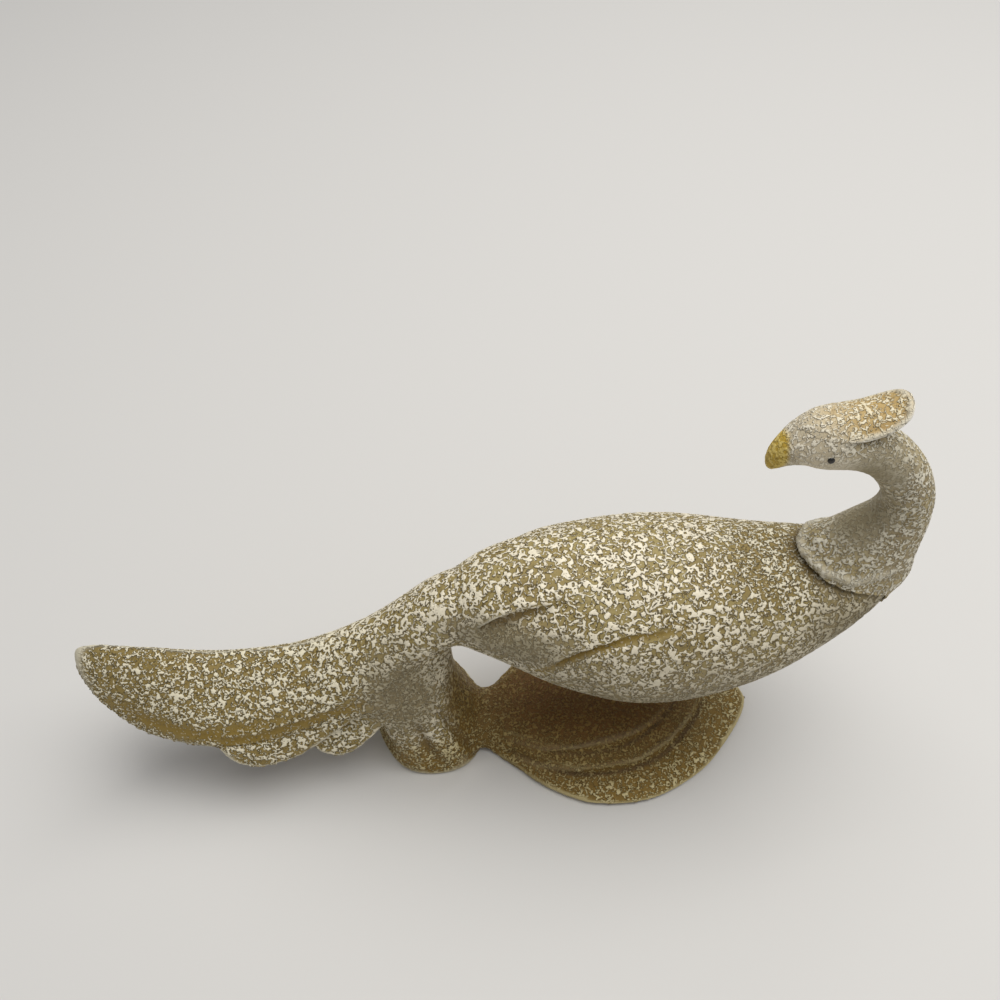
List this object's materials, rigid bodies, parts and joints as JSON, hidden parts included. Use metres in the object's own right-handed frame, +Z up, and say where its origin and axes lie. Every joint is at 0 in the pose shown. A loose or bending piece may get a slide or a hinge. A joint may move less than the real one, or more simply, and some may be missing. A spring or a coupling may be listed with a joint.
{
  "type": "ceramic peacock figurine",
  "caption": "Glazed ceramic peacock with a long trailing tail, an arched neck and a flat crest, standing on a tail foot and a leaf-shaped base.",
  "frame": {"origin": "on the table, below the middle of the figurine's length and width", "axes": "+X from the tail to the breast, +Y to the bird's left side when seen from the tail, +Z up"},
  "size_m": [0.2874, 0.0816, 0.1623],
  "materials": {
    "speckled_glaze": "satin crawl glaze with raised cream speckles on an olive-tan ground",
    "tail_glaze": "satin crawl glaze with raised cream speckles on an olive-tan ground",
    "shaded_glaze": "satin crawl glaze, greyer and more finely speckled",
    "olive_glaze": "satin dark olive-brown glaze with fine cream speckles",
    "crest_glaze": "satin pinkish-tan glaze with a pale rim",
    "beak_glaze": "satin golden-yellow glaze",
    "eye_glaze": "near-black glaze dot"
  },
  "bodies": {
    "root": {"body_shell": "speckled_glaze", "main_tail_feather": "tail_glaze", "second_tail_feather": "tail_glaze", "third_tail_feather": "tail_glaze", "tail_foot": "shaded_glaze", "base_shell": "olive_glaze", "neck_and_collar": "shaded_glaze", "head": "speckled_glaze", "crest": "crest_glaze", "beak": "beak_glaze", "left_eye": "eye_glaze", "right_eye": "eye_glaze"}
  },
  "joints": []
}
